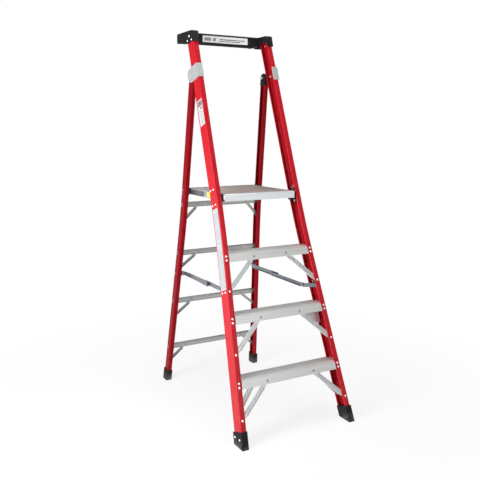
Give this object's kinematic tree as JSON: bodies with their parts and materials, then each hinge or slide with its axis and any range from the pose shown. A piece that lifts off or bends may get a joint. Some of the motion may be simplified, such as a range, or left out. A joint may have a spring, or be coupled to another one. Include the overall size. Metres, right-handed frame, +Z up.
{
  "type": "platform step ladder",
  "caption": "Folding platform step ladder with fibreglass channel rails, flat treads, a standing platform, guard-rail cap, braced rear frame and folding spreaders.",
  "frame": {"origin": "on the floor, midway between the outer edges of the four boots", "axes": "+Z up, the climbing side faces -Y, +X to the right of someone climbing"},
  "size_m": [0.698, 1.0844, 2.099],
  "materials": {
    "red_fibreglass": "pultruded fibreglass, satin",
    "black_rubber": "moulded, matt",
    "black_plastic": "moulded, fine grain",
    "collar_aluminium": "pressed, satin",
    "tread_aluminium": "extruded, fine grooves",
    "brace_steel": "zinc plated",
    "cross_bar_aluminium": "extruded, satin",
    "bright_rivets": "polished",
    "dark_rivets": "plain",
    "pin_steel": "zinc plated",
    "deck_aluminium": "extruded, ribbed and worn",
    "edge_aluminium": "extruded, bright",
    "spreader_steel": "zinc plated, dull"
  },
  "bodies": {
    "front_frame": {"front_rail_left": "red_fibreglass", "front_rail_right": "red_fibreglass", "front_boot_left": "black_rubber", "front_boot_right": "black_rubber", "top_cap": "black_plastic", "hinge_collar_left": "collar_aluminium", "hinge_collar_right": "collar_aluminium", "hinge_pins": "collar_aluminium", "hinge_spacers": "black_plastic", "collar_bolts": "collar_aluminium", "tread_1": "tread_aluminium", "tread_2": "tread_aluminium", "tread_3": "tread_aluminium", "tread_1_front_brace_left": "brace_steel", "tread_1_front_brace_right": "brace_steel", "tread_1_rear_brace_left": "brace_steel", "tread_1_rear_brace_right": "brace_steel", "tread_2_brace_left": "brace_steel", "tread_2_brace_right": "brace_steel", "tread_2_gusset": "brace_steel", "tread_3_brace_left": "brace_steel", "tread_3_brace_right": "brace_steel", "front_frame_rivets": "bright_rivets", "skirt_rivets": "dark_rivets", "cap_and_boot_rivets": "bright_rivets", "deck_bracket_left": "black_plastic", "deck_bracket_right": "black_plastic", "deck_pins": "pin_steel", "front_spreader_bracket_left": "spreader_steel", "front_spreader_bracket_right": "spreader_steel", "front_spreader_pins": "pin_steel"},
    "rear_frame": {"rear_rail_left": "red_fibreglass", "rear_rail_right": "red_fibreglass", "rear_rail_cap_left": "black_plastic", "rear_rail_cap_right": "black_plastic", "rear_boot_left": "black_rubber", "rear_boot_right": "black_rubber", "cross_bar_1": "cross_bar_aluminium", "cross_bar_2": "cross_bar_aluminium", "cross_bar_3": "cross_bar_aluminium", "cross_bar_4": "cross_bar_aluminium", "cross_braces_1": "cross_bar_aluminium", "cross_braces_2": "cross_bar_aluminium", "cross_braces_3": "cross_bar_aluminium", "cross_braces_4": "cross_bar_aluminium", "deck_rests": "black_plastic", "link_pins": "pin_steel", "rear_spreader_brackets": "spreader_steel", "rear_spreader_pins": "pin_steel", "rear_frame_rivets": "dark_rivets"},
    "platform": {"platform_deck": "deck_aluminium", "platform_front_edge": "edge_aluminium", "platform_rear_edge": "edge_aluminium", "platform_sides": "edge_aluminium"},
    "platform_link_left": {"platform_link_left": "spreader_steel"},
    "platform_link_right": {"platform_link_right": "spreader_steel"},
    "spreader_front_left": {"spreader_front_bar_left": "spreader_steel"},
    "spreader_front_right": {"spreader_front_bar_right": "spreader_steel"},
    "spreader_rear_left": {"spreader_rear_bar_left": "spreader_steel"},
    "spreader_rear_right": {"spreader_rear_bar_right": "spreader_steel"}
  },
  "joints": [
    {"name": "rear_frame_hinge", "type": "hinge", "parent": "front_frame", "child": "rear_frame", "pos_m": [0, 0.2389, 1.864], "axis": [-1, 0, 0], "range_deg": [0, 27.6]},
    {"name": "platform_hinge", "type": "hinge", "parent": "front_frame", "child": "platform", "pos_m": [0, -0.0591, 1.204], "axis": [1, 0, 0], "range_deg": [0, 70.4]},
    {"name": "platform_link_left", "type": "hinge", "parent": "rear_frame", "child": "platform_link_left", "pos_m": [-0.223, 0.3209, 1.204], "axis": [-1, 0, 0], "range_deg": [0, 65]},
    {"name": "spreader_front_left", "type": "hinge", "parent": "front_frame", "child": "spreader_front_left", "pos_m": [-0.2246, -0.1941, 0.702], "axis": [1, 0, 0], "range_deg": [0, 70.1]},
    {"name": "spreader_rear_left", "type": "hinge", "parent": "rear_frame", "child": "spreader_rear_left", "pos_m": [-0.2347, 0.3879, 0.702], "axis": [-1, 0, 0], "range_deg": [0, 81.7]},
    {"name": "platform_link_right", "type": "hinge", "parent": "rear_frame", "child": "platform_link_right", "pos_m": [0.223, 0.3209, 1.204], "axis": [-1, 0, 0], "range_deg": [0, 65]},
    {"name": "spreader_front_right", "type": "hinge", "parent": "front_frame", "child": "spreader_front_right", "pos_m": [0.2246, -0.1941, 0.702], "axis": [1, 0, 0], "range_deg": [0, 70.1]},
    {"name": "spreader_rear_right", "type": "hinge", "parent": "rear_frame", "child": "spreader_rear_right", "pos_m": [0.2347, 0.3879, 0.702], "axis": [-1, 0, 0], "range_deg": [0, 81.7]}
  ],
  "couplings": [
    {"joint": "platform_hinge", "follows": "rear_frame_hinge", "ratio": 2.5482},
    {"joint": "platform_link_left", "follows": "rear_frame_hinge", "ratio": 2.3533},
    {"joint": "spreader_front_left", "follows": "rear_frame_hinge", "ratio": 2.5366},
    {"joint": "spreader_rear_left", "follows": "rear_frame_hinge", "ratio": 2.9565},
    {"joint": "platform_link_right", "follows": "rear_frame_hinge", "ratio": 2.3533},
    {"joint": "spreader_front_right", "follows": "rear_frame_hinge", "ratio": 2.5366},
    {"joint": "spreader_rear_right", "follows": "rear_frame_hinge", "ratio": 2.9565}
  ]
}
